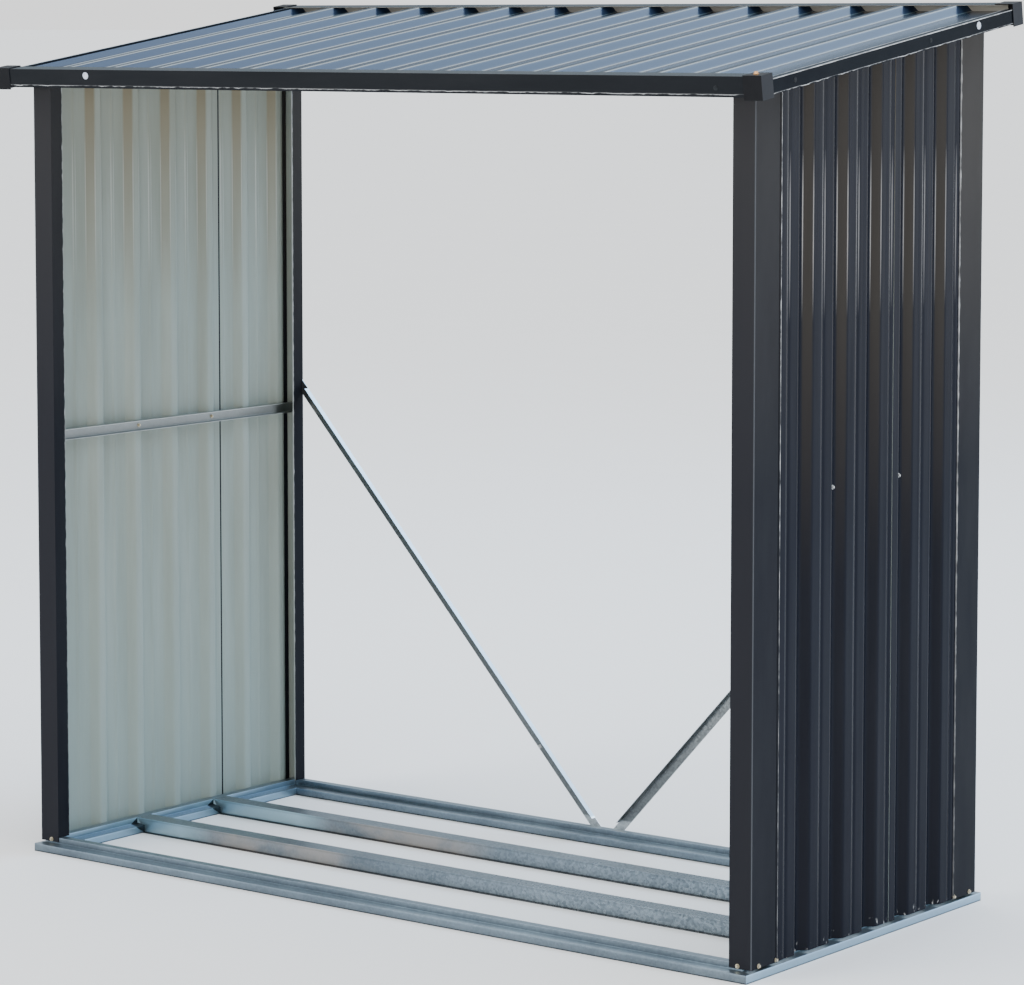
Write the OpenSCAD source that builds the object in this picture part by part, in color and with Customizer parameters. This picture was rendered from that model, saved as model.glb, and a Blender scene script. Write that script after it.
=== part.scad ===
// Open log store of folded and ribbed sheet steel: a pent roof on two side walls,
// open at the front and the back, on a frame of base rails.
// X runs along the width, Y from the front to the back and Z up from the ground.

/* [Overall] */
// Width over the corner posts
post_span_w = 1542; // [1300:2:1800]
// Depth over the corner posts
post_span_d = 676; // [600:2:900]
// Height of the underside of the roof sheets over the middle of the base
deck_mid_h = 1447; // [1200:1:1700]
// Slope of the roof, rising to the back
roof_angle = 8.45; // [5:0.05:12]
// Play between pieces that are screwed together
fit = 0.2; // [0.1:0.05:0.4]

/* [Ribbed sheet] */
// Gauge of the ribbed sheets
sheet_t = 0.6; // [0.4:0.1:1]
// Height of a rib
rib_h = 13.5; // [10:0.5:20]
// Width of a rib at its top
rib_top = 16; // [10:1:20]
// Width of a rib at its foot
rib_foot = 40; // [30:1:48]
// Height of the shallow bead along each flat
bead_h = 1.6; // [0.5:0.1:3]
// Width of the shallow bead
bead_w = 10; // [6:0.5:14]
// Length of sheet that each bend takes up on either side of it
bend_len = 3.5; // [1:0.5:5]
// Number of flats that make up a bend
bend_steps = 3; // [1:1:6]
// Width of the free strip beyond the last rib of a lapped sheet
lap_edge = 20; // [4:1:24]

/* [Base] */
// Gauge of the galvanised rails
rail_t = 1; // [0.6:0.1:1.4]
// Height of the base rails and of the floor rails
rail_h = 26; // [22:1:36]
// Width of the top of a base rail
rail_top = 16; // [12:1:24]
// Height at which the skirts of a base rail leave its webs
skirt_h = 16; // [12:0.5:17]
// Width of those skirts
skirt_w = 18; // [12:1:24]
// Height of the upright lip along the edge of a skirt
skirt_lip = 14; // [8:0.5:16]
// Width of the top of a floor rail
floor_top = 36; // [24:1:48]
// Width of the toes along the foot of a floor rail
floor_toe = 5; // [3:0.5:10]
// Distance from the middle of the base to the floor rails
floor_rail_y = 104; // [80:1:140]

/* [Posts] */
// Gauge of the posts
post_t = 1; // [0.6:0.1:1.4]
// Width of the face of a post on the side wall
post_side = 72; // [56:1:90]
// Width of the face of a post at the front or the back
post_face = 42; // [34:1:56]
// Width of the leg that turns into the store
post_return = 28; // [18:1:40]
// Width of the folded hem along the free edges of a post
post_hem = 4; // [2:0.5:6]
// Height of the foot of the posts and wall sheets over the ground
wall_foot = 18; // [16:1:22]

/* [Walls] */
// How far the wall sheets stop short of the front and back faces of the posts
wall_short = 10; // [2:1:14]
// Distance from the front edge of a wall to its first rib
wall_rib_first = 35.6; // [30:0.2:56]
// Distance from rib to rib on a wall
wall_rib_pitch = 98.9; // [90:0.1:120]
// Height of the middle of the wall rails
wall_rail_mid = 750; // [500:1:1000]
// Height of a wall rail
wall_rail_h = 19; // [14:1:30]
// Width of the lips of a wall rail
wall_rail_w = 12; // [8:1:18]

/* [Top rails] */
// Depth of the rails under the roof
top_rail_h = 22; // [16:1:30]
// Width of the flange that carries the roof
top_rail_w = 20; // [14:1:22]

/* [Braces] */
// Gauge of the braces at the back
brace_t = 1; // [0.8:0.1:1.6]
// Width of a brace
brace_w = 18; // [12:1:24]
// Width of the upper leg of a brace
brace_leg = 11; // [6:1:14]
// Flattened length at each end of a brace
brace_flat = 12; // [6:1:40]
// Distance between the feet of the two braces
brace_gap = 52; // [40:1:80]
// Height of the upper ends of the braces
brace_top_h = 790; // [600:1:1000]

/* [Roof] */
// How far the corner caps stand out beyond the posts at each side
roof_over_w = 44; // [30:1:80]
// How much longer the roof is than the posts' span at each end, along the slope
roof_over_d = 54; // [40:1:90]
// Distance from rib to rib on the roof
roof_rib_pitch = 105.4; // [90:0.2:120]
// How far the middle rib lies to the right of the middle of the roof
roof_rib_shift = -38; // [-45:1:45]
// Height of the turned-up edge at the sides of the roof
side_edge_h = 6; // [3:0.1:8]
// Gauge of the edge channels
fascia_t = 0.8; // [0.6:0.1:1.2]
// Depth of the edge channels below the roof sheets
fascia_drop = 17; // [14:1:24]
// Width of the upper lip of the front and back channels
fascia_lip = 29; // [20:1:36]
// Width of the upper lip of the side channels
side_lip = 16; // [12:1:18]
// Width of the lower lip of all edge channels
fascia_foot = 14; // [8:1:18]
// Height of the turned-up hem on the lower lips
fascia_hem = 5; // [3:0.5:8]

/* [Corner caps] */
// Wall of a corner cap
cap_wall = 1.5; // [1:0.1:2.5]
// Length of a cap along the front or the back
cap_w = 34; // [28:1:44]
// Length of a cap along the side
cap_d = 31; // [26:1:44]
// How far the edge channels reach into a cap
cap_grip = 8; // [5:1:12]
// How far a cap hangs below the edge channels
cap_hang = 4; // [2:0.5:8]

/* [Hidden] */

anthracite = "#2b3038";
zinc = "#a9b4bb";
plastic = "#23272e";

post_x = post_span_w / 2;
post_y = post_span_d / 2;
// Outer face of the wall sheets, and the planes of the rails inside the walls and the posts
wall_out = post_x - post_t - fit;
web_x = wall_out - rib_h - 2 * sheet_t - fit;
web_y = post_y - post_t - fit;
wall_end = web_y - wall_short;
// Taller than the whole store, for upright pieces that the roof cuts off
reach = 2 * deck_mid_h;

// Largest share of a flat that one bend takes up
bend_share = 0.4;

wall_rib_last = floor((2 * wall_end - wall_rib_first - rib_foot / 2) / wall_rib_pitch);
wall_lap = wall_rib_last - 2;

// Width and length over the corner caps
roof_w = post_span_w + 2 * roof_over_w;
roof_len = post_span_d + 2 * roof_over_d;
sheet_x = roof_w / 2 - cap_wall - fit - fascia_t - 2 * fit;
sheet_v = roof_len / 2 - cap_wall - fit - fascia_t - 2 * fit;
roof_rib_side = floor((sheet_x - abs(roof_rib_shift) - side_lip - rib_foot / 2) / roof_rib_pitch);
roof_lap = floor(roof_rib_side / 3);
fascia_top = rib_h + 2 * sheet_t + fascia_t;
fascia_x = roof_w / 2 - cap_wall - fit;
fascia_v = roof_len / 2 - cap_wall - fit;

// Distances along the slope to the webs of the front and back top rails
top_rail_front = web_y / cos(roof_angle);
top_rail_back = (web_y - top_rail_h * sin(roof_angle)) / cos(roof_angle);

// Fall of a skirt per width, and the drop of its inner line per gauge
skirt_fall = (skirt_h - skirt_lip) / skirt_w;
skirt_drop = sqrt(1 + skirt_fall * skirt_fall) - skirt_fall;

function wall_rib_y(i) = -wall_end + wall_rib_first + i * wall_rib_pitch;
function roof_rib_x(i) = roof_rib_shift + i * roof_rib_pitch;

// One rib, and one bead in the middle of a flat, as points of the sheet's profile
function rib_points(s) = [
    [s - rib_foot / 2, 0], [s - rib_top / 2, rib_h],
    [s + rib_top / 2, rib_h], [s + rib_foot / 2, 0]
];
function bead_points(s) = [[s - bead_w / 2, 0], [s, bead_h], [s + bead_w / 2, 0]];

// The point some way from one point towards another, within the share a bend may take up
function towards(p, q, way) = p + (q - p) * min(way / norm(q - p), bend_share);

// A bend at q between p and s, as a row of short flats
function bend(p, q, s) = let (a = towards(q, p, bend_len), b = towards(q, s, bend_len))
    [for (i = [0 : bend_steps]) let (k = i / bend_steps)
        (1 - k) * (1 - k) * a + 2 * k * (1 - k) * q + k * k * b];
function bent(points) = concat(
    [points[0]],
    [for (i = [1 : len(points) - 2]) each bend(points[i - 1], points[i], points[i + 1])],
    [points[len(points) - 1]]
);

// The lower line of a sheet from one edge to the other, with ribs at the given places
function sheet_line(from, to, ribs) = bent(concat(
    [[from, 0]],
    [for (i = [0 : len(ribs) - 1]) each concat(
        rib_points(ribs[i]),
        i < len(ribs) - 1 ? bead_points((ribs[i] + ribs[i + 1]) / 2) : []
    )],
    [[to, 0]]
));
function raised(points, by) = [for (p = points) [p[0], p[1] + by]];
function reversed(points) = [for (i = [len(points) - 1 : -1 : 0]) points[i]];
function sheet_outline(line) = concat(line, reversed(raised(line, sheet_t)));

// What lies above the underside of the roof, to cut off posts and wall sheets
module above_deck() {
    translate([0, 0, deck_mid_h])
        rotate([roof_angle, 0, 0])
            translate([-roof_w, -roof_len, -fit])
                cube([2 * roof_w, 2 * roof_len, reach]);
}

// Places pieces of the roof: X along the width, Y up the slope, Z square to the sheets
module on_roof() {
    translate([0, 0, deck_mid_h])
        rotate([roof_angle, 0, 0])
            children();
}

// Extrudes an outline of width and height along Y, centred
module along_y(length) {
    translate([0, length / 2, 0])
        rotate([90, 0, 0])
            linear_extrude(length)
                children();
}

// Extrudes an outline of depth and height along X, centred
module along_x(length) {
    translate([-length / 2, 0, 0])
        rotate([90, 0, 90])
            linear_extrude(length)
                children();
}

// The outer line of a base rail from its outer skirt over the top to its inner skirt,
// with the outer web at zero and all of it drawn in by a gauge
function rail_line(gauge) = [
    [skirt_w - gauge, 0], [skirt_w - gauge, skirt_lip - skirt_drop * gauge],
    [-gauge, skirt_h - skirt_drop * gauge],
    [-gauge, rail_h - gauge], [gauge - rail_top, rail_h - gauge],
    [gauge - rail_top, skirt_h - skirt_drop * gauge],
    [gauge - rail_top - skirt_w, skirt_lip - skirt_drop * gauge], [gauge - rail_top - skirt_w, 0]
];

// A base rail along X, its outer web on the X axis, with mitred ends
module base_rail(corner_x) {
    far = corner_x + 2 * skirt_w;
    difference() {
        along_x(2 * far)
            polygon(concat(rail_line(0), reversed(rail_line(rail_t))));
        for (side = [0, 1])
            mirror([side, 0, 0])
                translate([corner_x - fit, 0, -rail_h])
                    rotate([0, 0, -45])
                        translate([0, -far, 0])
                            cube([far, 2 * far, 3 * rail_h]);
    }
}

module cross_base_rail() {
    translate([0, web_y, 0])
        base_rail(web_x);
}

module side_base_rail() {
    translate([web_x, 0, 0])
        rotate([0, 0, -90])
            base_rail(web_y);
}

module front_base_rail() {
    color(zinc) rotate([0, 0, 180]) cross_base_rail();
}

module back_base_rail() {
    color(zinc) cross_base_rail();
}

module right_base_rail() {
    color(zinc) side_base_rail();
}

module left_base_rail() {
    color(zinc) rotate([0, 0, 180]) side_base_rail();
}

// A floor rail along X: an upturned channel with toes, its ends cut to the skirts of the side rails
module floor_rail() {
    end_x = web_x - rail_top - fit;
    skirt_x = end_x - skirt_w - fit;
    half = floor_top / 2;
    difference() {
        along_x(2 * end_x)
            polygon([
                [-half - floor_toe, 0], [-half - floor_toe, rail_t], [-half, rail_t],
                [-half, rail_h], [half, rail_h],
                [half, rail_t], [half + floor_toe, rail_t], [half + floor_toe, 0],
                [half - rail_t, 0], [half - rail_t, rail_h - rail_t],
                [rail_t - half, rail_h - rail_t], [rail_t - half, 0]
            ]);
        for (side = [0, 1])
            mirror([side, 0, 0])
                along_y(2 * floor_top)
                    polygon([
                        [skirt_x, -skirt_h], [skirt_x, skirt_lip + fit],
                        [skirt_x + 2 * skirt_w, skirt_lip + fit + 2 * skirt_w * skirt_fall],
                        [skirt_x + 2 * skirt_w, -skirt_h]
                    ]);
    }
}

module front_floor_rail() {
    color(zinc)
        translate([0, -floor_rail_y, 0])
            floor_rail();
}

module back_floor_rail() {
    color(zinc)
        translate([0, floor_rail_y, 0])
            floor_rail();
}

// A corner post at the right front: side face, front face and a leg into the store
module corner_post() {
    difference() {
        union() {
            translate([post_x - post_face, -post_y, wall_foot])
                cube([post_face, post_t, reach]);
            translate([post_x - post_t, -post_y, wall_foot])
                cube([post_t, post_side, reach]);
            translate([post_x - post_t, post_side - post_hem - post_y, wall_foot])
                cube([2 * post_t, post_hem, reach]);
            translate([post_x - post_face, -post_y, rail_h + fit])
                cube([post_t, post_return, reach]);
            translate([post_x - post_face, post_return - post_hem - post_y, rail_h + fit])
                cube([2 * post_t, post_hem, reach]);
        }
        children();
    }
}

module front_right_post() {
    color(anthracite) corner_post() above_deck();
}

module front_left_post() {
    color(anthracite) mirror([1, 0, 0]) corner_post() above_deck();
}

module back_right_post() {
    color(anthracite) mirror([0, 1, 0]) corner_post() mirror([0, 1, 0]) above_deck();
}

module back_left_post() {
    color(anthracite)
        mirror([1, 0, 0])
            mirror([0, 1, 0])
                corner_post() mirror([0, 1, 0]) above_deck();
}

// A sheet of the right wall, its ribs turned into the store, lapped over by a number of gauges
module wall_sheet(from, to, first, last, lap) {
    ribs = [for (i = [first : last]) wall_rib_y(i)];
    outline = sheet_outline(raised(sheet_line(from, to, ribs), lap * sheet_t));
    difference() {
        translate([0, 0, wall_foot])
            linear_extrude(reach)
                polygon([for (p = outline) [wall_out - p[1], p[0]]]);
        above_deck();
    }
}

module wall_front_sheet() {
    wall_sheet(-wall_end, wall_rib_y(wall_lap) + rib_foot / 2 + lap_edge, 0, wall_lap, 1);
}

module wall_back_sheet() {
    wall_sheet(wall_rib_y(wall_lap) - rib_foot / 2 - lap_edge, wall_end, wall_lap, wall_rib_last, 0);
}

module right_front_wall_sheet() {
    color(anthracite) wall_front_sheet();
}

module right_back_wall_sheet() {
    color(anthracite) wall_back_sheet();
}

module left_front_wall_sheet() {
    color(anthracite) mirror([1, 0, 0]) wall_front_sheet();
}

module left_back_wall_sheet() {
    color(anthracite) mirror([1, 0, 0]) wall_back_sheet();
}

// A channel along the inside of the right wall, open to the store
module wall_rail() {
    translate([web_x - wall_rail_w, 0, wall_rail_mid - wall_rail_h / 2])
        along_y(2 * (web_y - fit))
            difference() {
                square([wall_rail_w, wall_rail_h]);
                translate([-rail_t, rail_t])
                    square([wall_rail_w, wall_rail_h - 2 * rail_t]);
            }
}

module right_wall_rail() {
    color(zinc) wall_rail();
}

module left_wall_rail() {
    color(zinc) mirror([1, 0, 0]) wall_rail();
}

// A brace across the back, from the top of the base rail to the leg of the right post:
// an angle whose upper leg stops short of the flattened ends
module brace() {
    foot_x = brace_gap / 2;
    post_leg = post_x - post_face;
    rise = brace_top_h - rail_h;
    run = post_leg - foot_x;
    long = sqrt(rise * rise + run * run);
    difference() {
        translate([foot_x, web_y - fit, rail_h])
            rotate([0, -atan2(rise, run), 0]) {
                translate([-2 * brace_w, -brace_t, -brace_w / 2])
                    cube([long + 4 * brace_w, brace_t, brace_w]);
                translate([brace_flat, -brace_leg, brace_w / 2 - brace_t])
                    cube([long - 2 * brace_flat, brace_leg, brace_t]);
            }
        translate([-post_x, 0, fit - rail_h])
            cube([2 * post_x, 2 * post_y, 2 * rail_h]);
        translate([post_leg - fit, 0, 0])
            cube([post_x, 2 * post_y, reach]);
    }
}

module right_brace() {
    color(zinc) brace();
}

module left_brace() {
    color(zinc) mirror([1, 0, 0]) brace();
}

// An angle that carries the roof: a flange under the sheets and a web down from its outer edge
module top_rail_outline() {
    translate([-top_rail_w, -rail_t])
        square([top_rail_w, rail_t]);
    translate([-rail_t, -top_rail_h])
        square([rail_t, top_rail_h]);
}

module side_top_rail() {
    on_roof()
        translate([web_x, 0, 0])
            along_y(2 * top_rail_back - 2 * fit)
                top_rail_outline();
}

module cross_top_rail() {
    along_x(2 * (post_x - post_face - fit))
        top_rail_outline();
}

module right_top_rail() {
    color(zinc) side_top_rail();
}

module left_top_rail() {
    color(zinc) mirror([1, 0, 0]) side_top_rail();
}

module front_top_rail() {
    color(zinc)
        on_roof()
            translate([0, -top_rail_front, 0])
                rotate([0, 0, 180])
                    cross_top_rail();
}

module back_top_rail() {
    color(zinc)
        on_roof()
            translate([0, top_rail_back, 0])
                cross_top_rail();
}

// A roof sheet with ribs from one number to another, laid over its neighbour by a number of gauges
module roof_sheet(line, lap) {
    on_roof()
        along_y(2 * sheet_v)
            polygon(sheet_outline(raised(line, lap * sheet_t)));
}

function lap_from(i) = roof_rib_x(i) - rib_foot / 2 - lap_edge;
function lap_to(i) = roof_rib_x(i) + rib_foot / 2 + lap_edge;
function roof_ribs(first, last) = [for (i = [first : last]) roof_rib_x(i)];

module middle_roof_sheet() {
    color(anthracite)
        roof_sheet(sheet_line(lap_from(-roof_lap), lap_to(roof_lap), roof_ribs(-roof_lap, roof_lap)), 0);
}

// The turned-up edge of an outer roof sheet
module side_edge() {
    on_roof()
        translate([sheet_x - sheet_t, 0, sheet_t])
            along_y(2 * sheet_v)
                square([sheet_t, side_edge_h]);
}

module right_roof_sheet() {
    color(anthracite) {
        roof_sheet(sheet_line(lap_from(roof_lap), sheet_x, roof_ribs(roof_lap, roof_rib_side)), 1);
        side_edge();
    }
}

module left_roof_sheet() {
    color(anthracite) {
        roof_sheet(sheet_line(-sheet_x, lap_to(-roof_lap), roof_ribs(-roof_rib_side, -roof_lap)), 1);
        mirror([1, 0, 0]) side_edge();
    }
}

// An edge channel, its outer face at zero and open inwards, towards -X of the outline
module fascia_outline(top, lip) {
    difference() {
        translate([-lip, -fascia_drop])
            square([lip, top + fascia_drop]);
        translate([-lip - fascia_t, fascia_t - fascia_drop])
            square([lip, top + fascia_drop - 2 * fascia_t]);
        translate([-lip - fascia_t, -fascia_drop - fascia_t])
            square([lip + fascia_t - fascia_foot, fascia_drop]);
    }
    translate([-fascia_foot, -fascia_drop])
        square([fascia_t, fascia_hem]);
}

module cross_fascia() {
    along_x(2 * (roof_w / 2 - cap_w + cap_grip))
        fascia_outline(fascia_top, fascia_lip);
}

module side_fascia() {
    on_roof()
        translate([fascia_x, 0, 0])
            along_y(2 * (roof_len / 2 - cap_d + cap_grip))
                fascia_outline(sheet_t + side_edge_h + fascia_t, side_lip);
}

module front_fascia() {
    color(anthracite)
        on_roof()
            translate([0, -fascia_v, 0])
                rotate([0, 0, 180])
                    cross_fascia();
}

module back_fascia() {
    color(anthracite)
        on_roof()
            translate([0, fascia_v, 0])
                cross_fascia();
}

module right_fascia() {
    color(anthracite) side_fascia();
}

module left_fascia() {
    color(anthracite) mirror([1, 0, 0]) side_fascia();
}

// A moulded cap over the right back corner of the roof, open towards the two edge channels
module corner_cap() {
    floor_w = -fascia_drop - fit;
    low = floor_w - cap_hang;
    high = fascia_top + fit + cap_wall;
    difference() {
        translate([roof_w / 2 - cap_w, roof_len / 2 - cap_d, low])
            cube([cap_w, cap_d, high - low]);
        translate([roof_w / 2 - 2 * cap_w, roof_len / 2 - 2 * cap_d, floor_w])
            cube([2 * cap_w - cap_wall, 2 * cap_d - cap_wall, high - cap_wall - floor_w]);
        translate([roof_w / 2 - 2 * cap_w, roof_len / 2 - 2 * cap_d, low - cap_wall])
            cube([2 * cap_w - cap_wall, 2 * cap_d - cap_wall, cap_hang]);
    }
}

module back_right_cap() {
    color(plastic) on_roof() corner_cap();
}

module back_left_cap() {
    color(plastic) on_roof() mirror([1, 0, 0]) corner_cap();
}

module front_right_cap() {
    color(plastic) on_roof() mirror([0, 1, 0]) corner_cap();
}

module front_left_cap() {
    color(plastic) on_roof() mirror([1, 0, 0]) mirror([0, 1, 0]) corner_cap();
}

front_base_rail();
back_base_rail();
left_base_rail();
right_base_rail();
front_floor_rail();
back_floor_rail();
front_left_post();
front_right_post();
back_left_post();
back_right_post();
left_front_wall_sheet();
left_back_wall_sheet();
right_front_wall_sheet();
right_back_wall_sheet();
left_wall_rail();
right_wall_rail();
left_brace();
right_brace();
left_top_rail();
right_top_rail();
front_top_rail();
back_top_rail();
left_roof_sheet();
middle_roof_sheet();
right_roof_sheet();
front_fascia();
back_fascia();
left_fascia();
right_fascia();
front_left_cap();
front_right_cap();
back_left_cap();
back_right_cap();
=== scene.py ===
import bpy
from math import cos, radians, sin
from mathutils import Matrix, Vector


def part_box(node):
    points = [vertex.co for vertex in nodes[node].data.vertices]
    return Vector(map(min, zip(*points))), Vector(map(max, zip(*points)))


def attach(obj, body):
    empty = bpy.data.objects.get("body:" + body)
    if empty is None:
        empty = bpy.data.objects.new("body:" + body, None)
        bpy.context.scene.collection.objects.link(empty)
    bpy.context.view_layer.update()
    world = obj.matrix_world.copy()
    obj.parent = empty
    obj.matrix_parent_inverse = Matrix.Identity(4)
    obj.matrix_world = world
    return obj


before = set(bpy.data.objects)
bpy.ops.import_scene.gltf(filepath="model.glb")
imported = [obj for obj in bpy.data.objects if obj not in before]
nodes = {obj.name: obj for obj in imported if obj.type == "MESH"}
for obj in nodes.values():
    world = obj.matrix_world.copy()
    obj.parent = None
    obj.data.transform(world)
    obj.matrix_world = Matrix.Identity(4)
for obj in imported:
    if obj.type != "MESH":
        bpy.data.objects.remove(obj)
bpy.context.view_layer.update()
print("frame loaded,", len(nodes), "pieces")

postLow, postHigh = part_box("front_right_post")
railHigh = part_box("right_wall_rail")[1]
slope = radians(8.45)
deck = 1.447  # underside of the roof sheets over the middle of the base


# small helpers for shader trees
def newMaterial(name):
    mat = bpy.data.materials.new(name)
    mat.use_nodes = True
    tree = mat.node_tree
    return mat, tree, tree.nodes["Principled BSDF"]


def plug(tree, socket, value):
    if hasattr(value, "is_output"):
        tree.links.new(value, socket)
    else:
        socket.default_value = value


def calc(tree, operation, a, b=0.0, clamp=False):
    node = tree.nodes.new("ShaderNodeMath")
    node.operation = operation
    node.use_clamp = clamp
    plug(tree, node.inputs[0], a)
    plug(tree, node.inputs[1], b)
    return node.outputs[0]


def mapRange(tree, value, low, high, toLow=0.0, toHigh=1.0):
    node = tree.nodes.new("ShaderNodeMapRange")
    for socket, v in zip(node.inputs, (value, low, high, toLow, toHigh)):
        plug(tree, socket, v)
    return node.outputs[0]


def mixColor(tree, factor, a, b):
    node = tree.nodes.new("ShaderNodeMix")
    node.data_type = "RGBA"
    plug(tree, node.inputs["Factor"], factor)
    plug(tree, node.inputs[6], a)
    plug(tree, node.inputs[7], b)
    return node.outputs[2]


def objectPlace(tree, scale=(1, 1, 1), turn=(0, 0, 0), move=(0, 0, 0)):
    coords = tree.nodes.new("ShaderNodeTexCoord")
    mapping = tree.nodes.new("ShaderNodeMapping")
    mapping.inputs["Scale"].default_value = scale
    mapping.inputs["Rotation"].default_value = turn
    mapping.inputs["Location"].default_value = move
    tree.links.new(coords.outputs["Object"], mapping.inputs["Vector"])
    return mapping.outputs[0]


def noise(tree, place, scale, detail=3.0, rough=0.5):
    node = tree.nodes.new("ShaderNodeTexNoise")
    tree.links.new(place, node.inputs["Vector"])
    node.inputs["Scale"].default_value = scale
    node.inputs["Detail"].default_value = detail
    node.inputs["Roughness"].default_value = rough
    return node.outputs["Fac"]


def parts(tree, vector):
    node = tree.nodes.new("ShaderNodeSeparateXYZ")
    tree.links.new(vector, node.inputs[0])
    return node.outputs


def bump(tree, height, strength, distance):
    node = tree.nodes.new("ShaderNodeBump")
    node.inputs["Strength"].default_value = strength
    node.inputs["Distance"].default_value = distance
    tree.links.new(height, node.inputs["Height"])
    return node.outputs[0]


def surfaceNormal(tree):
    return parts(tree, tree.nodes.new("ShaderNodeTexCoord").outputs["Normal"])


def band(tree, value, low, high):  # 1 between two values
    return calc(tree, "MULTIPLY", calc(tree, "GREATER_THAN", value, low), calc(tree, "LESS_THAN", value, high))


# painted sheet: dark gloss outside, pale back coat inside
backCoat = {"light": (0.320, 0.372, 0.352, 1), "dark": (0.260, 0.298, 0.272, 1), "rough": 0.40}
bareEdge = (0.62, 0.64, 0.66, 1)


def paintedSteel(name, look, outsideMask, edgeMask=None, lineMask=None, tints=(), glossMask=None):
    mat, tree, bsdf = newMaterial(name)
    streaks = noise(tree, objectPlace(tree, look["grain"]), 3.0, 4.0, 0.6)
    waves = noise(tree, objectPlace(tree, look["wave"]), 4.0, 2.0)
    outMask = outsideMask(tree)
    spread = mapRange(tree, streaks, 0.3, 0.72)
    color = mixColor(tree, outMask, mixColor(tree, spread, backCoat["light"], backCoat["dark"]),
                     mixColor(tree, spread, look["dark"], look["light"]))
    for tint in tints:
        color = mixColor(tree, tint(tree), color, look[tint.__name__])
    if lineMask:
        color = mixColor(tree, lineMask(tree), color, look["dark"])
    if edgeMask:
        color = mixColor(tree, edgeMask(tree), color, bareEdge)
    tree.links.new(color, bsdf.inputs["Base Color"])
    rough = mapRange(tree, outMask, 0, 1, backCoat["rough"], look["rough"])
    tree.links.new(calc(tree, "ADD", rough, mapRange(tree, streaks, 0.2, 0.8, -0.05, 0.07)), bsdf.inputs["Roughness"])
    plug(tree, bsdf.inputs["Specular IOR Level"], glossMask(tree) if glossMask else look["gloss"])
    tree.links.new(bump(tree, waves, look["dents"], 0.006), bsdf.inputs["Normal"])
    return mat


# walls
wallLook = {"dark": (0.0048, 0.0064, 0.0120, 1), "light": (0.0084, 0.0104, 0.0170, 1), "rough": 0.16,
            "gloss": 0.048, "topGloss": 0.12, "bendGloss": 2.0, "paintedFlankReflection": (0.029, 0.027, 0.0252, 1),
            "paintedRoofShade": (0.185, 0.160, 0.105, 1), "paintedCoolFootLight": (0.285, 0.375, 0.375, 1),
            "grain": (9, 9, 0.8), "wave": (2, 2, 1), "dents": 0.25}
lapLine, lapHalf = 0.1446, 0.0022  # free edge of the front sheets, half the width of the gap there


def wallOutside(tree):  # faces that look away from the middle of the store
    x = parts(tree, objectPlace(tree))[0]
    return calc(tree, "GREATER_THAN", calc(tree, "MULTIPLY", x, surfaceNormal(tree)[0]), 0.0)


def wallScuffs(tree):  # rubbed paint along the foot of the sheets
    height = parts(tree, objectPlace(tree))[2]
    speck = noise(tree, objectPlace(tree, (1, 1, 0.5)), 150.0, 2.0)
    worn = calc(tree, "MULTIPLY", mapRange(tree, speck, 0.64, 0.74), mapRange(tree, height, 0.034, 0.018))
    return calc(tree, "MULTIPLY", worn, calc(tree, "MULTIPLY", wallOutside(tree), 0.8), True)


def wallLap(tree):  # dark line where one sheet ends on the next: the dark-painted sheet edge and painted shade in the gap
    y = parts(tree, objectPlace(tree))[1]
    return band(tree, y, lapLine - lapHalf, lapLine + lapHalf)


def paintedFlankReflection(tree):  # painted reflection: warm grey on the upper part of the flanks that face the front
    height = parts(tree, objectPlace(tree))[2]
    flank = mapRange(tree, calc(tree, "MULTIPLY", surfaceNormal(tree)[1], -1.0), 0.25, 0.70)
    high = mapRange(tree, height, 0.60, 1.05, 0.12, 1.0)
    return calc(tree, "MULTIPLY", wallOutside(tree), calc(tree, "MULTIPLY", flank, high), True)


def paintedRoofShade(tree):  # painted shade: the back coat turns darker and warmer high up under the roof, strongest on the flanks
    height = parts(tree, objectPlace(tree))[2]
    flank = mapRange(tree, calc(tree, "ABSOLUTE", surfaceNormal(tree)[1]), 0.2, 0.6, 0.45, 1.0)
    inside = calc(tree, "SUBTRACT", 1.0, wallOutside(tree))
    return calc(tree, "MULTIPLY", inside, calc(tree, "MULTIPLY", flank, mapRange(tree, height, 0.95, 1.40)), True)


def paintedCoolFootLight(tree):  # painted light: the back coat takes a bluer, cooler light near the ground
    height = parts(tree, objectPlace(tree))[2]
    inside = calc(tree, "SUBTRACT", 1.0, wallOutside(tree))
    return calc(tree, "MULTIPLY", inside, mapRange(tree, height, 0.65, 0.05, 0.0, 0.6))


def wallGloss(tree):  # streaky, duller towards the foot, polished bends in a band above the middle
    height = parts(tree, objectPlace(tree))[2]
    streaks = noise(tree, objectPlace(tree, (1, 60, 0.5)), 2.0, 3.0, 0.6)
    flat = calc(tree, "MULTIPLY", mapRange(tree, height, 0.70, 1.30, wallLook["gloss"], wallLook["topGloss"]),
                mapRange(tree, streaks, 0.3, 0.7, 0.75, 1.25))
    bend = band(tree, calc(tree, "ABSOLUTE", surfaceNormal(tree)[1]), 0.22, 0.50)
    shine = calc(tree, "MULTIPLY", mapRange(tree, height, 1.02, 1.14), mapRange(tree, height, 1.29, 1.22, 0.05, 1.0))
    return calc(tree, "ADD", flat, calc(tree, "MULTIPLY", bend, calc(tree, "MULTIPLY", shine, wallLook["bendGloss"])))


wallPaint = paintedSteel("wallPaint", wallLook, wallOutside, wallScuffs, wallLap,
                         (paintedFlankReflection, paintedRoofShade, paintedCoolFootLight), wallGloss)

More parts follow.
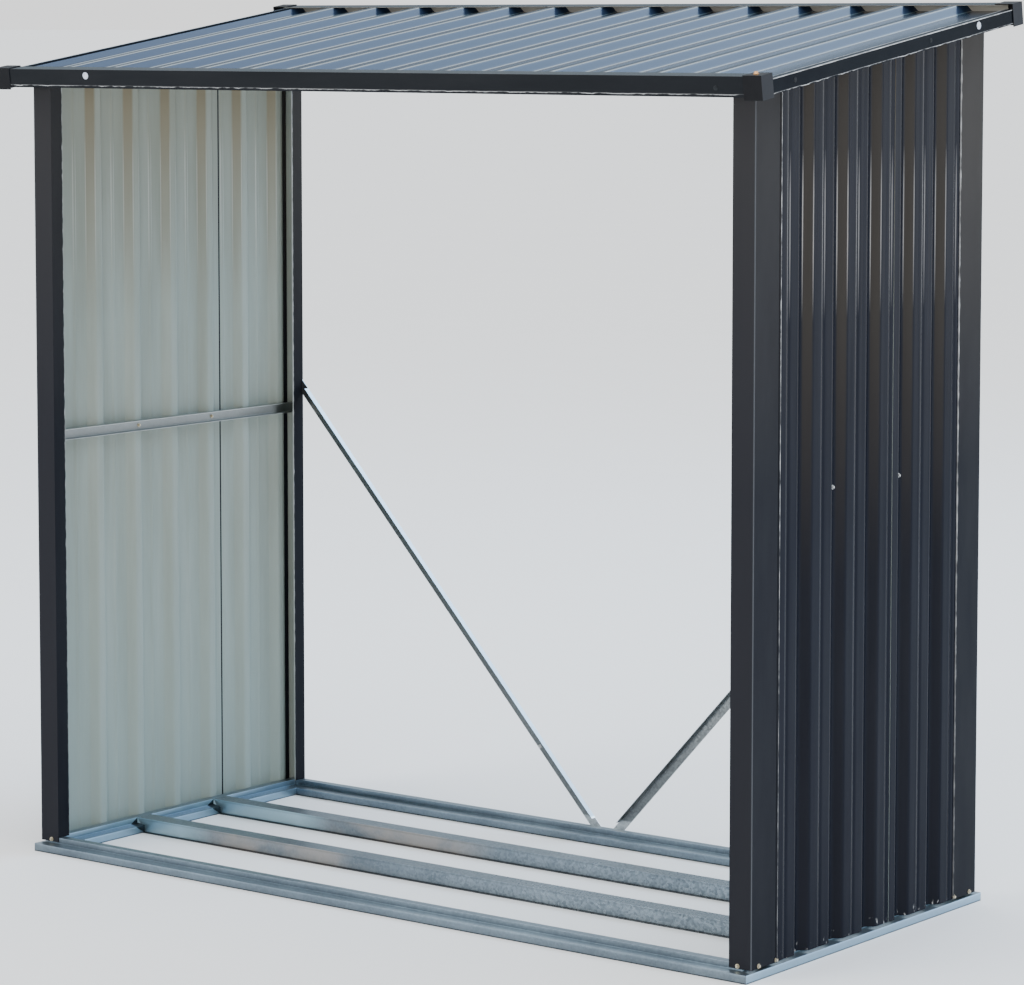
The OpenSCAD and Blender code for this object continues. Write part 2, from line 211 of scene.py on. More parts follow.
# roof sheets
roofLook = {"dark": (0.014, 0.025, 0.042, 1), "light": (0.023, 0.038, 0.060, 1), "rough": 0.20, "gloss": 0.22,
            "flankGloss": 0.20, "bendGloss": 1.15, "paintedSkyOnFlanks": (0.018, 0.034, 0.072, 1),
            "paintedBendHighlight": (0.25, 0.38, 0.44, 1), "paintedRimShade": (0.006, 0.008, 0.011, 1),
            "grain": (9, 0.8, 9), "wave": (2, 1, 2), "dents": 0.15}
rim = (-0.7735, -0.7660)  # right bend of the leftmost rib


def roofOutside(tree):  # faces that look up
    return calc(tree, "GREATER_THAN", surfaceNormal(tree)[2], 0.0)


def paintedSkyOnFlanks(tree):  # painted reflection: rib sides facing sideways take the blue of the sky
    side = mapRange(tree, calc(tree, "ABSOLUTE", surfaceNormal(tree)[0]), 0.55, 0.70)
    return calc(tree, "MULTIPLY", side, roofOutside(tree))


def paintedBendHighlight(tree):  # painted highlight: pale lines on the bends along the ribs
    bend = band(tree, calc(tree, "ABSOLUTE", surfaceNormal(tree)[0]), 0.14, 0.62)
    return calc(tree, "MULTIPLY", bend, calc(tree, "MULTIPLY", roofOutside(tree), 0.30))


def paintedRimShade(tree):  # painted shade: dark line along the right bend of the leftmost rib
    x = parts(tree, objectPlace(tree))[0]
    return calc(tree, "MULTIPLY", roofOutside(tree), band(tree, x, *rim))


def roofGloss(tree):  # bends shine, the painted shade line has no shine
    side = calc(tree, "ABSOLUTE", surfaceNormal(tree)[0])
    bend = band(tree, side, 0.10, 0.60)
    onFlank = calc(tree, "GREATER_THAN", side, 0.60)
    gloss = calc(tree, "ADD", calc(tree, "MULTIPLY", onFlank, roofLook["flankGloss"] - roofLook["gloss"]),
                 calc(tree, "ADD", roofLook["gloss"], calc(tree, "MULTIPLY", bend, roofLook["bendGloss"])))
    return calc(tree, "MULTIPLY", gloss, calc(tree, "SUBTRACT", 1.0, paintedRimShade(tree)))


roofPaint = paintedSteel("roofPaint", roofLook, roofOutside,
                         tints=(paintedSkyOnFlanks, paintedBendHighlight, paintedRimShade), glossMask=roofGloss)

# posts: the hems are cut edges and stay bare
postLook = {"dark": (0.0085, 0.0100, 0.0145, 1), "light": (0.0130, 0.0148, 0.0195, 1), "rough": 0.20,
            "gloss": 0.030, "topGloss": 0.09, "paintedTopSheen": (0.028, 0.027, 0.027, 1),
            "paintedEndFaceLight": (0.020, 0.0205, 0.0250, 1), "bendLine": (0.070, 0.078, 0.090, 1),
            "grain": (6, 6, 0.8), "wave": (3, 3, 2), "dents": 0.3}
legPlane = postLow.x + 0.010  # nearer to the middle than this is the leg into the store
cornerPlane = postHigh.x - 0.004  # further out than this is the folded corner
sideFree, legFree = -postHigh.y, 0.310  # free edges of the side face and of the leg
bendWidth = 0.0024


def postOutside(tree):
    place = parts(tree, objectPlace(tree))
    normal = surfaceNormal(tree)
    onLeg = calc(tree, "LESS_THAN", calc(tree, "ABSOLUTE", place[0]), legPlane)
    sideways = calc(tree, "MULTIPLY", normal[0], calc(tree, "SIGN", place[0]))
    sideways = calc(tree, "MULTIPLY", sideways, mapRange(tree, onLeg, 0, 1, 1, -1))
    endways = calc(tree, "MULTIPLY", normal[1], calc(tree, "SIGN", place[1]))
    facing = calc(tree, "GREATER_THAN", calc(tree, "ADD", sideways, endways), 0.0)
    inCorner = calc(tree, "GREATER_THAN", calc(tree, "ABSOLUTE", place[0]), cornerPlane)
    return calc(tree, "MAXIMUM", facing, inCorner)


def postHems(tree):
    place = parts(tree, objectPlace(tree))
    wobble = noise(tree, objectPlace(tree), 55.0, 3.0)
    wide = mapRange(tree, wobble, 0.3, 0.7, 0.0002, 0.0018)
    depth = calc(tree, "ABSOLUTE", place[1])
    onLeg = calc(tree, "LESS_THAN", calc(tree, "ABSOLUTE", place[0]), legPlane)
    free = mapRange(tree, onLeg, 0, 1, sideFree, legFree)
    edge = calc(tree, "LESS_THAN", depth, calc(tree, "ADD", free, wide))
    faint = mapRange(tree, place[2], 0.1, 0.9, 0.35, 1.0)
    patchy = mapRange(tree, wobble, 0.3, 0.65, 0.25, 0.65)
    return calc(tree, "MULTIPLY", edge, calc(tree, "MULTIPLY", faint, patchy), True)


def postGloss(tree):  # duller towards the foot
    place = parts(tree, objectPlace(tree))
    return mapRange(tree, place[2], 0.75, 1.25, postLook["gloss"], postLook["topGloss"])


def paintedTopSheen(tree):  # painted reflection: outer faces turn paler and warmer towards the top, most on the rear posts
    place = parts(tree, objectPlace(tree))
    rear = mapRange(tree, place[1], 0.20, 0.26, 0.45, 1.0)
    dust = calc(tree, "MULTIPLY", rear, mapRange(tree, place[2], 0.75, 1.3))
    return calc(tree, "MULTIPLY", postOutside(tree), dust)


def paintedEndFaceLight(tree):  # painted light: front and back faces are a little paler than the sides
    face = calc(tree, "GREATER_THAN", calc(tree, "ABSOLUTE", surfaceNormal(tree)[1]), 0.5)
    return calc(tree, "MULTIPLY", postOutside(tree), calc(tree, "MULTIPLY", face, 0.7))


def bendLine(tree):  # the outer bend of a post catches the light
    place = parts(tree, objectPlace(tree))
    fromSide = calc(tree, "SUBTRACT", postHigh.x, calc(tree, "ABSOLUTE", place[0]))
    fromEnd = calc(tree, "SUBTRACT", -postLow.y, calc(tree, "ABSOLUTE", place[1]))
    return calc(tree, "MULTIPLY", calc(tree, "LESS_THAN", calc(tree, "ADD", fromSide, fromEnd), bendWidth), 0.8)


postPaint = paintedSteel("postPaint", postLook, postOutside, postHems,
                         tints=(paintedEndFaceLight, paintedTopSheen, bendLine), glossMask=postGloss)

# edge channels: bare line along the lower fold
fasciaLook = {"dark": (0.0050, 0.0065, 0.0090, 1), "light": (0.0095, 0.0112, 0.0140, 1), "rough": 0.22,
              "gloss": 0.08, "lipGloss": 0.42, "paintedLiningLight": (0.46, 0.45, 0.42, 1),
              "grain": (1.5, 1.5, 9), "wave": (3, 3, 3), "dents": 0.25}
sideLook = dict(fasciaLook, dark=(0.0030, 0.0052, 0.0088, 1), light=(0.0056, 0.0082, 0.0125, 1), gloss=0.05)
fasciaPlaces = {"web": 0.3899, "sideWeb": 0.8129, "lip": 0.0151, "sideLip": 0.0070, "lipEdge": 0.7973,
                "foot": -0.0166, "hem": -0.0128, "sideHem": -0.0155, "hemHalf": 0.0006}


def slopeParts(tree):  # across, up the slope, square to the sheets
    return parts(tree, objectPlace(tree, turn=(-slope, 0, 0), move=(0, -deck * sin(slope), -deck * cos(slope))))


def fasciaOutside(axis, web, lip):
    def mask(tree):
        place = slopeParts(tree)
        face = calc(tree, "GREATER_THAN", calc(tree, "ABSOLUTE", place[axis]), web)
        above = calc(tree, "GREATER_THAN", place[2], lip)
        below = calc(tree, "LESS_THAN", place[2], fasciaPlaces["foot"])
        return calc(tree, "ADD", face, calc(tree, "ADD", above, below), True)
    return mask


def fasciaHem(hem):
    def mask(tree):
        level = slopeParts(tree)[2]
        wobble = noise(tree, objectPlace(tree), 40.0, 4.0, 0.6)
        place = calc(tree, "ADD", level, mapRange(tree, wobble, 0.3, 0.7, -0.0010, 0.0010))
        line = band(tree, place, hem - fasciaPlaces["hemHalf"], hem + fasciaPlaces["hemHalf"])
        return calc(tree, "MULTIPLY", line, mapRange(tree, wobble, 0.38, 0.62, 0.05, 0.65), True)
    return mask


def sideEdges(tree):  # hem and the two edges of the upper lip
    place = slopeParts(tree)
    across = calc(tree, "ABSOLUTE", place[0])
    wobble = noise(tree, objectPlace(tree), 25.0, 4.0, 0.6)
    inner = calc(tree, "LESS_THAN", across, fasciaPlaces["lipEdge"] + 0.0022)
    outer = calc(tree, "GREATER_THAN", across, fasciaPlaces["sideWeb"] - 0.0012)
    onLip = calc(tree, "GREATER_THAN", place[2], fasciaPlaces["sideLip"] - 0.0008)
    lines = calc(tree, "MULTIPLY", calc(tree, "ADD", inner, outer, True), onLip)
    lines = calc(tree, "MULTIPLY", lines, mapRange(tree, wobble, 0.35, 0.6, 0.25, 0.8))
    return calc(tree, "MAXIMUM", lines, fasciaHem(fasciaPlaces["sideHem"])(tree))


def paintedLiningLight(tree):  # painted light: the shaded inside of the cross channels is painted paler than the back coat
    outside = fasciaOutside(1, fasciaPlaces["web"], fasciaPlaces["lip"])(tree)
    return calc(tree, "MULTIPLY", calc(tree, "SUBTRACT", 1.0, outside), 0.8)


def crossGloss(tree):  # the upper lips catch more of the sky than the webs
    onLip = calc(tree, "GREATER_THAN", slopeParts(tree)[2], fasciaPlaces["lip"])
    return mapRange(tree, onLip, 0, 1, fasciaLook["gloss"], fasciaLook["lipGloss"])


crossPaint = paintedSteel("crossFasciaPaint", fasciaLook,
                          fasciaOutside(1, fasciaPlaces["web"], fasciaPlaces["lip"]), fasciaHem(fasciaPlaces["hem"]),
                          tints=(paintedLiningLight,), glossMask=crossGloss)
sidePaint = paintedSteel("sideFasciaPaint", sideLook,
                         fasciaOutside(0, fasciaPlaces["sideWeb"], fasciaPlaces["sideLip"]), sideEdges)

# galvanised rails and braces: painted light and shade in bands over the height of a rail, fine spangle to the right
zinc = {"light": (0.25, 0.295, 0.33, 1), "dark": (0.125, 0.155, 0.182, 1), "warm": (0.33, 0.295, 0.265, 1),
        "bright": (0.38, 0.57, 0.74, 1), "spangle": 260.0, "rough": 0.30, "metal": 0.92, "top": 0.02613,
        "sparkle": 0.50, "dullSkyPatch": (0.33, 0.50, 0.60, 1), "cool": (0.40, 0.55, 0.61, 1),
        "gap": (0.012, 0.015, 0.018, 1)}
baseLook = dict(zinc, light=(0.225, 0.280, 0.325, 1), dark=(0.130, 0.165, 0.198, 1), sparkle=0.16)
braceLook = dict(zinc, light=(0.27, 0.29, 0.295, 1), dark=(0.15, 0.163, 0.17, 1),
                 bright=(0.70, 0.84, 0.93, 1), top=0.045)
wallZincLook = dict(zinc, light=(0.29, 0.31, 0.315, 1), dark=(0.15, 0.165, 0.17, 1),
                    bright=(0.26, 0.275, 0.27, 1), top=railHigh.z)
baseBands = ((0.0, 0.25), (0.06, 0.25), (0.09, 0.85), (0.42, 1.0), (0.54, 1.5), (0.62, 1.4), (0.66, 0.65),
             (0.90, 0.95), (0.965, 1.1), (0.985, 1.8), (1.0, 1.4))
floorBands = ((0.0, 0.2), (0.055, 0.2), (0.085, 0.95), (0.80, 1.15), (0.93, 0.9), (0.97, 1.3), (1.0, 1.3))
braceBands = ((0.0, 1.9), (0.93, 1.9), (1.0, 0.85))
wallBands = ((0.0, 2.0), (0.9763, 2.0), (0.9769, 0.85), (0.9978, 1.1), (0.9986, 2.0), (1.0, 2.0))
floorRail = {"front": (-0.122, 0.086), "end": 0.7389, "height": 0.026, "fold": 0.75, "gap": 1.7}


# painted light and shade: the zinc colour is scaled band by band over the height
def railBands(tree, bands, top, height):
    ramp = tree.nodes.new("ShaderNodeValToRGB")
    stops = ramp.color_ramp.elements
    while len(stops) < len(bands):
        stops.new(0.5)
    for stop, (place, value) in zip(stops, bands):
        stop.position = place
        stop.color = (value / 2, value / 2, value / 2, 1)
    tree.links.new(mapRange(tree, height, 0.0, top), ramp.inputs["Fac"])
    return calc(tree, "MULTIPLY", parts(tree, ramp.outputs["Color"])[0], 2.0)


def warmPatch(tree, color, cloud, place):  # dull patch left of the middle of a floor rail
    face = mapRange(tree, calc(tree, "ABSOLUTE", surfaceNormal(tree)[1]), 0.3, 0.6)
    along = calc(tree, "SUBTRACT", place[0], calc(tree, "MULTIPLY", place[1], 0.5))
    window = calc(tree, "MULTIPLY", mapRange(tree, along, -0.54, -0.44), mapRange(tree, along, -0.10, -0.22))
    patchy = mapRange(tree, cloud, 0.36, 0.56, 0.1, 0.75)
    dulled = calc(tree, "MULTIPLY", calc(tree, "MULTIPLY", window, face), patchy)
    return mixColor(tree, dulled, color, zinc["warm"])


def coolEnd(tree, color, cloud, place):  # painted reflection: pale sky blue towards the left end of a floor rail
    face = mapRange(tree, calc(tree, "ABSOLUTE", surfaceNormal(tree)[1]), 0.3, 0.6)
    along = calc(tree, "SUBTRACT", place[0], calc(tree, "MULTIPLY", place[1], 0.5))
    paled = calc(tree, "MULTIPLY", face, mapRange(tree, along, -0.49, -0.57, 0.0, 0.8))
    return mixColor(tree, paled, color, zinc["cool"])


def bentCorner(tree, place):  # painted reflection: the lower corners at the rail ends, bent on the real rails, take the pale blue of the sky
    fromEnd = calc(tree, "SUBTRACT", floorRail["end"], calc(tree, "ABSOLUTE", place[0]))
    fold = calc(tree, "MULTIPLY", calc(tree, "SUBTRACT", floorRail["height"], place[2]), floorRail["fold"])
    return band(tree, fromEnd, -0.01, fold)


def gapShade(tree, color, cloud, place):  # dark gap on the side rails beside each floor rail
    middle = floorRail["height"] / 2
    reach = calc(tree, "SUBTRACT", middle, calc(tree, "ABSOLUTE", calc(tree, "SUBTRACT", place[2], middle)))
    onSide = band(tree, calc(tree, "ABSOLUTE", place[0]), 0.70, 0.7395)
    for face in floorRail["front"]:
        gap = calc(tree, "SUBTRACT", face, place[1])
        near = calc(tree, "LESS_THAN", gap, calc(tree, "MULTIPLY", reach, floorRail["gap"]))
        dark = calc(tree, "MULTIPLY", calc(tree, "MULTIPLY", near, calc(tree, "GREATER_THAN", gap, 0.0)), onSide)
        color = mixColor(tree, calc(tree, "MULTIPLY", dark, 0.92), color, zinc["gap"])
    return color


def galvanised(name, look, bands, marks=(), dullSkyPatch=None):
    mat, tree, bsdf = newMaterial(name)
    place = parts(tree, objectPlace(tree))
    normal = surfaceNormal(tree)
    cells = tree.nodes.new("ShaderNodeTexVoronoi")
    cells.inputs["Scale"].default_value = look["spangle"]
    tree.links.new(objectPlace(tree), cells.inputs["Vector"])
    flake = parts(tree, cells.outputs["Color"])[0]
    cloud = noise(tree, objectPlace(tree, (1, 1, 1.6)), 7.0, 4.0, 0.6)
    sparkle = mapRange(tree, place[0], -0.2, 0.5, 0.12, look["sparkle"])
    shade = calc(tree, "ADD", calc(tree, "MULTIPLY", flake, sparkle), calc(tree, "MULTIPLY", cloud, 0.55))
    color = mixColor(tree, mapRange(tree, shade, 0.20, 0.62), look["dark"], look["light"])
    # painted reflection: faces turned up and to the right take the bright sky colour
    upward = calc(tree, "GREATER_THAN", normal[2], -0.3)
    lit = calc(tree, "MULTIPLY", mapRange(tree, normal[0], 0.45, 0.65, 0.0, 0.7), upward)
    color = mixColor(tree, lit, color, look["bright"])
    for mark in marks:
        color = mark(tree, color, cloud, place)
    # painted reflection: where the mask is set the zinc turns non-metal and takes the pale sky blue
    if dullSkyPatch:
        dulled = dullSkyPatch(tree, place)
        color = mixColor(tree, dulled, color, look["dullSkyPatch"])
        tree.links.new(mapRange(tree, dulled, 0, 1, look["metal"], 0.0), bsdf.inputs["Metallic"])
    else:
        bsdf.inputs["Metallic"].default_value = look["metal"]
    scaled = tree.nodes.new("ShaderNodeVectorMath")
    scaled.operation = "SCALE"
    tree.links.new(color, scaled.inputs[0])
    tree.links.new(railBands(tree, bands, look["top"], place[2]), scaled.inputs["Scale"])
    tree.links.new(scaled.outputs[0], bsdf.inputs["Base Color"])
    rough = mapRange(tree, shade, 0.2, 0.8, look["rough"] + 0.08, look["rough"] - 0.08)
    tree.links.new(rough, bsdf.inputs["Roughness"])
    tree.links.new(bump(tree, flake, 0.04, 0.0005), bsdf.inputs["Normal"])
    return mat


baseZinc = galvanised("baseZinc", baseLook, baseBands, (gapShade,))
floorZinc = galvanised("floorZinc", zinc, floorBands, (warmPatch, coolEnd), bentCorner)
braceZinc = galvanised("braceZinc", braceLook, braceBands)
wallZinc = galvanised("wallZinc", wallZincLook, wallBands)

# corner caps: moulded plastic with a fine grain
capLook = {"dark": (0.0030, 0.0033, 0.0050, 1), "light": (0.0060, 0.0066, 0.0085, 1),
           "side": (0.024, 0.027, 0.033, 1), "rough": 0.42, "gloss": 0.11}


def mouldedPlastic(name, look):
    mat, tree, bsdf = newMaterial(name)
    grain = noise(tree, objectPlace(tree), 900.0, 2.0)
    cloud = noise(tree, objectPlace(tree), 40.0, 3.0)
    color = mixColor(tree, mapRange(tree, cloud, 0.35, 0.7), look["dark"], look["light"])
    # painted light: faces turned sideways are paler
    sideways = mapRange(tree, calc(tree, "ABSOLUTE", surfaceNormal(tree)[0]), 0.4, 0.8, 0.0, 0.8)
    tree.links.new(mixColor(tree, sideways, color, look["side"]), bsdf.inputs["Base Color"])
    rough = mapRange(tree, cloud, 0.2, 0.8, look["rough"] - 0.05, look["rough"] + 0.08)
    tree.links.new(rough, bsdf.inputs["Roughness"])
    tree.links.new(bump(tree, grain, 0.15, 0.0004), bsdf.inputs["Normal"])
    bsdf.inputs["Specular IOR Level"].default_value = look["gloss"]
    return mat


capPlastic = mouldedPlastic("capPlastic", capLook)

# the first word found in a node's name counts, braces and top rails have none
finishes = (("wall_sheet", wallPaint), ("roof_sheet", roofPaint), ("post", postPaint),
            ("front_fascia", crossPaint), ("back_fascia", crossPaint), ("fascia", sidePaint), ("cap", capPlastic),
            ("base_rail", baseZinc), ("floor_rail", floorZinc), ("wall_rail", wallZinc))
for name, node in nodes.items():
    finish = next((m for word, m in finishes if word in name), braceZinc)
    node.data.materials.clear()
    node.data.materials.append(finish)
print("finishes set")


# screws: one tree for every kind, a head on a washer, turned along each point's axis
def screwTree():
    tree = bpy.data.node_groups.new("screwField", "GeometryNodeTree")
    face = tree.interface
    face.new_socket("Geometry", in_out="INPUT", socket_type="NodeSocketGeometry")
    for label in ("Head Radius", "Head Height", "Washer Radius", "Washer Height"):
        face.new_socket(label, in_out="INPUT", socket_type="NodeSocketFloat")
    face.new_socket("Finish", in_out="INPUT", socket_type="NodeSocketMaterial")
    face.new_socket("Geometry", in_out="OUTPUT", socket_type="NodeSocketGeometry")
    new, link = tree.nodes.new, tree.links.new
    given, made = new("NodeGroupInput"), new("NodeGroupOutput")

    def lifted(mesh, height):
        offset = new("ShaderNodeCombineXYZ")
        link(height, offset.inputs["Z"])
        moved = new("GeometryNodeTransform")
        link(mesh, moved.inputs["Geometry"])
        link(offset.outputs[0], moved.inputs["Translation"])
        return moved.outputs["Geometry"]

    washer = new("GeometryNodeMeshCylinder")
    washer.inputs["Vertices"].default_value = 20
    link(given.outputs["Washer Radius"], washer.inputs["Radius"])
    link(given.outputs["Washer Height"], washer.inputs["Depth"])
    head = new("GeometryNodeMeshCone")
    head.inputs["Vertices"].default_value = 6
    link(given.outputs["Head Radius"], head.inputs["Radius Bottom"])
    link(calc(tree, "MULTIPLY", given.outputs["Head Radius"], 0.8), head.inputs["Radius Top"])
    link(given.outputs["Head Height"], head.inputs["Depth"])
    join = new("GeometryNodeJoinGeometry")
    halfWasher = calc(tree, "MULTIPLY", given.outputs["Washer Height"], 0.5)
    link(lifted(washer.outputs["Mesh"], halfWasher), join.inputs[0])
    link(lifted(head.outputs["Mesh"], given.outputs["Washer Height"]), join.inputs[0])
    axis = new("GeometryNodeInputNamedAttribute")
    axis.data_type = "FLOAT_VECTOR"
    axis.inputs["Name"].default_value = "axis"
    align = new("FunctionNodeAlignRotationToVector")
    link(axis.outputs["Attribute"], align.inputs["Vector"])
    place = new("GeometryNodeInstanceOnPoints")
    link(given.outputs["Geometry"], place.inputs["Points"])
    link(join.outputs[0], place.inputs["Instance"])
    link(align.outputs[0], place.inputs["Rotation"])
    real = new("GeometryNodeRealizeInstances")
    link(place.outputs[0], real.inputs[0])
    dress = new("GeometryNodeSetMaterial")
    link(real.outputs[0], dress.inputs["Geometry"])
    link(given.outputs["Finish"], dress.inputs["Material"])
    link(dress.outputs[0], made.inputs[0])
    return tree


screwField = screwTree()


def setScrews(name, sizes, finish, places):
    points = bpy.data.meshes.new(name + "Points")
    points.from_pydata([p for p, a in places], [], [])
    axis = points.attributes.new("axis", "FLOAT_VECTOR", "POINT")
    for i, (p, a) in enumerate(places):
        axis.data[i].vector = a
    holder = bpy.data.objects.new(name, points)
    bpy.context.scene.collection.objects.link(holder)
    modifier = holder.modifiers.new("screws", "NODES")
    modifier.node_group = screwField
    sockets = {s.name: s.identifier for s in screwField.interface.items_tree if s.in_out == "INPUT"}
    for label, value in sizes.items():
        modifier[sockets[label]] = value
    modifier[sockets["Finish"]] = finish
    done = bpy.data.meshes.new_from_object(holder.evaluated_get(bpy.context.evaluated_depsgraph_get()))
    holder.modifiers.clear()
    holder.data = done
    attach(holder, "root")
    print(name, len(places))


def screwFinish(name, color, worn, rough, metal, gloss=0.5):
    mat, tree, bsdf = newMaterial(name)
    cloud = noise(tree, objectPlace(tree), 300.0, 3.0)
    tree.links.new(mixColor(tree, mapRange(tree, cloud, 0.35, 0.7), color, worn), bsdf.inputs["Base Color"])
    tree.links.new(mapRange(tree, cloud, 0.2, 0.8, rough - 0.06, rough + 0.08), bsdf.inputs["Roughness"])
    tree.links.new(bump(tree, cloud, 0.1, 0.0003), bsdf.inputs["Normal"])
    bsdf.inputs["Metallic"].default_value = metal
    bsdf.inputs["Specular IOR Level"].default_value = gloss
    return mat


yellowZinc = screwFinish("yellowZinc", (0.62, 0.57, 0.43, 1), (0.40, 0.35, 0.25, 1), 0.3, 0.8)
paleWasher = screwFinish("paleWasher", (0.66, 0.72, 0.84, 1), (0.40, 0.46, 0.58, 1), 0.35, 0.1)
greyZinc = screwFinish("greyZinc", (0.62, 0.64, 0.65, 1), (0.36, 0.38, 0.40, 1), 0.3, 0.5)
darkPaint = screwFinish("darkScrew", (0.012, 0.014, 0.017, 1), (0.022, 0.025, 0.029, 1), 0.4, 0.0, 0.08)
right, back = Vector((1, 0, 0)), Vector((0, 1, 0))
slopeBack, slopeUp = Vector((0, cos(slope), sin(slope))), Vector((0, -sin(slope), cos(slope)))
seat = 0.001  # screws sit this far inside the box of their piece


def onRoof(x, v, w):  # across, up the slope, above the underside of the sheets
    return Vector((x, v * cos(slope) - w * sin(slope), deck + v * sin(slope) + w * cos(slope)))


# post feet
footScrews = {"height": 0.022, "face": 0.7455, "sideNear": 0.2690, "sideFar": 0.3180,
              "size": {"Head Radius": 0.0030, "Head Height": 0.0024, "Washer Radius": 0.0038, "Washer Height": 0.0009}}
spots = []
for sx in (-1, 1):
    for sy in (-1, 1):
        spots.append(((sx * footScrews["face"], sy * -postLow.y, footScrews["height"]), back * sy))
        for y in (footScrews["sideNear"], footScrews["sideFar"]):
            spots.append(((sx * (postHigh.x - seat), sy * y, footScrews["height"]), right * sx))
setScrews("footScrews", footScrews["size"], yellowZinc, spots)

# wall sheets to the wall rails, heads outside in the grooves and nuts inside on the rails
wallScrews = {"height": 0.750, "ribs": (-0.0934, 0.1044), "groove": 0.7563,
              "size": {"Head Radius": 0.0027, "Head Height": 0.0026, "Washer Radius": 0.0036, "Washer Height": 0.0008}}
spots = [((sx * wallScrews["groove"], y, wallScrews["height"]), right * sx)
         for sx in (-1, 1) for y in wallScrews["ribs"]]
setScrews("wallScrews", wallScrews["size"], greyZinc, spots)
spots = [((sx * (railHigh.x - seat), y, wallScrews["height"]), right * -sx)
         for sx in (-1, 1) for y in wallScrews["ribs"]]
setScrews("wallNuts", wallScrews["size"], yellowZinc, spots)

# one screw low on the left brace
braceScrew = {"x": -0.1540, "height": 0.1576}
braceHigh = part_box("left_brace")[1]
spots = [((braceScrew["x"], braceHigh.y - seat, braceScrew["height"]), -back)]
setScrews("braceScrew", wallScrews["size"], greyZinc, spots)

# edge channels
edgeScrews = {"web": 0.3903, "sideWeb": 0.8133, "paleAt": (-0.5955, 0.0048), "sidePaleAt": (0.251, -0.0026),
              "darkAt": (0.729, -0.0027), "sideDarkAt": ((-0.298, -0.004), (0.100, -0.004)),
              "capAt": (0.797, -0.378, 0.0172),
              "pale": {"Head Radius": 0.0042, "Head Height": 0.0006, "Washer Radius": 0.0062, "Washer Height": 0.0006},
              "dark": {"Head Radius": 0.0030, "Head Height": 0.0006, "Washer Radius": 0.0040, "Washer Height": 0.0004},
              "cap": {"Head Radius": 0.0038, "Head Height": 0.0034, "Washer Radius": 0.0048, "Washer Height": 0.0010}}
x, level = edgeScrews["paleAt"]
pale = [(onRoof(x, -edgeScrews["web"], level), -slopeBack)]
pale += [(onRoof(sx * edgeScrews["sideWeb"], *edgeScrews["sidePaleAt"]), right * sx) for sx in (-1, 1)]
setScrews("fasciaWashers", edgeScrews["pale"], paleWasher, pale)
x, level = edgeScrews["darkAt"]
dark = [(onRoof(x, -edgeScrews["web"], level), -slopeBack)]
dark += [(onRoof(sx * edgeScrews["sideWeb"], *at), right * sx) for sx in (-1, 1) for at in edgeScrews["sideDarkAt"]]
setScrews("fasciaScrews", edgeScrews["dark"], darkPaint, dark)
brass = screwFinish("brassScrew", (0.62, 0.36, 0.16, 1), (0.40, 0.22, 0.10, 1), 0.35, 0.6)
setScrews("capScrew", edgeScrews["cap"], brass, [(onRoof(*edgeScrews["capAt"]), slopeUp)])

# floor and light
floorLook = {"light": (0.90, 0.90, 0.90, 1), "dark": (0.875, 0.878, 0.88, 1), "half": 1500.0, "gloss": 0.1}
mat, tree, bsdf = newMaterial("paleFloor")
cloud = noise(tree, objectPlace(tree), 2.0, 2.0)
tree.links.new(mixColor(tree, cloud, floorLook["light"], floorLook["dark"]), bsdf.inputs["Base Color"])
tree.links.new(mapRange(tree, cloud, 0, 1, 0.85, 0.95), bsdf.inputs["Roughness"])
bsdf.inputs["Specular IOR Level"].default_value = floorLook["gloss"]
half = floorLook["half"]
floorMesh = bpy.data.meshes.new("floor")
floorMesh.from_pydata([(-half, -half, 0), (half, -half, 0), (half, half, 0), (-half, half, 0)], [], [(0, 1, 2, 3)])
floorMesh.materials.append(mat)
floor = bpy.data.objects.new("floor", floorMesh)
bpy.context.scene.collection.objects.link(floor)

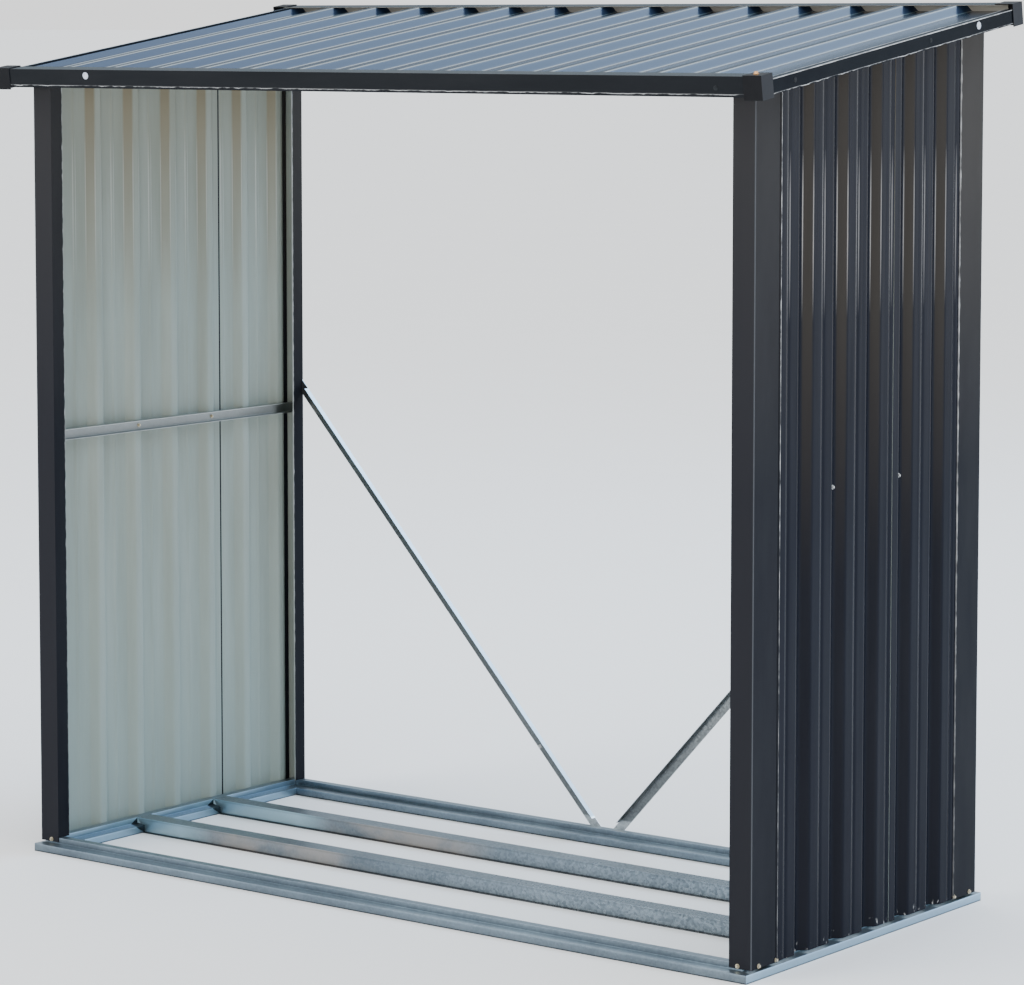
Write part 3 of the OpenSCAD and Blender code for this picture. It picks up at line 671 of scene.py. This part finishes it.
skyLook = {"horizon": (1.42, 1.43, 1.44, 1), "low": (0.26, 0.34, 0.41, 1), "high": (2.1, 2.15, 2.2, 1)}
world = bpy.data.worlds.new("softSky")
bpy.context.scene.world = world
world.use_nodes = True
tree = world.node_tree
height = parts(tree, tree.nodes.new("ShaderNodeTexCoord").outputs["Object"])[2]
near = mixColor(tree, mapRange(tree, height, 0.01, 0.10), skyLook["horizon"], skyLook["low"])
sky = mixColor(tree, mapRange(tree, height, 0.30, 0.62), near, skyLook["high"])
tree.links.new(sky, tree.nodes["Background"].inputs["Color"])


def softbox(name, look):
    data = bpy.data.lights.new(name, "AREA")
    data.shape = "RECTANGLE"
    data.size, data.size_y = look["size"]
    data.energy = look["power"]
    data.color = look["color"]
    lamp = bpy.data.objects.new(name, data)
    lamp.location = look["place"]
    ray = Vector(look["aim"]) - Vector(look["place"])
    lamp.rotation_euler = ray.to_track_quat("-Z", "Y").to_euler()
    lamp.visible_camera = False
    bpy.context.scene.collection.objects.link(lamp)


softbox("keyLight", {"place": (-3.5, -6.0, 3.0), "aim": (0, 0, 0.7), "size": (3.0, 3.0),
                     "power": 160, "color": (1.0, 0.96, 0.90)})
softbox("warmCard", {"place": (5.6, -7.8, 1.5), "aim": (0.77, 0, 1.0), "size": (4.0, 2.4),
                     "power": 260, "color": (1.0, 0.84, 0.68)})
softbox("skyPanel", {"place": (1.7, 4.5, 5.6), "aim": (0, 0, 1.4), "size": (5.0, 4.0),
                     "power": 315, "color": (0.40, 0.66, 1.0)})
softbox("edgeStrip", {"place": (6.0, -0.4, 1.35), "aim": (0.77, 0, 1.2), "size": (0.5, 1.4),
                      "power": 120, "color": (1.0, 0.95, 0.88)})
print("floor and light set")

# camera: the photograph's place and lens, image 1024 x 985
camera = {"place": (3.96294, -5.07357, 1.48318), "yaw": 37.71, "pitch": 4.98, "lensPixels": 3736.9,
          "imageWidth": 1024, "imageHeight": 985, "axisRow": 350.0, "sensor": 36.0}
eyeData = bpy.data.cameras.new("photoCamera")
eyeData.sensor_fit = "HORIZONTAL"
eyeData.sensor_width = camera["sensor"]
eyeData.lens = camera["lensPixels"] / camera["imageWidth"] * camera["sensor"]
eyeData.shift_y = (camera["axisRow"] - camera["imageHeight"] / 2) / camera["imageWidth"]
eye = bpy.data.objects.new("photoCamera", eyeData)
eye.location = camera["place"]
eye.rotation_euler = (radians(90 - camera["pitch"]), 0, radians(camera["yaw"]))
bpy.context.scene.collection.objects.link(eye)
bpy.context.scene.camera = eye
print("camera set")
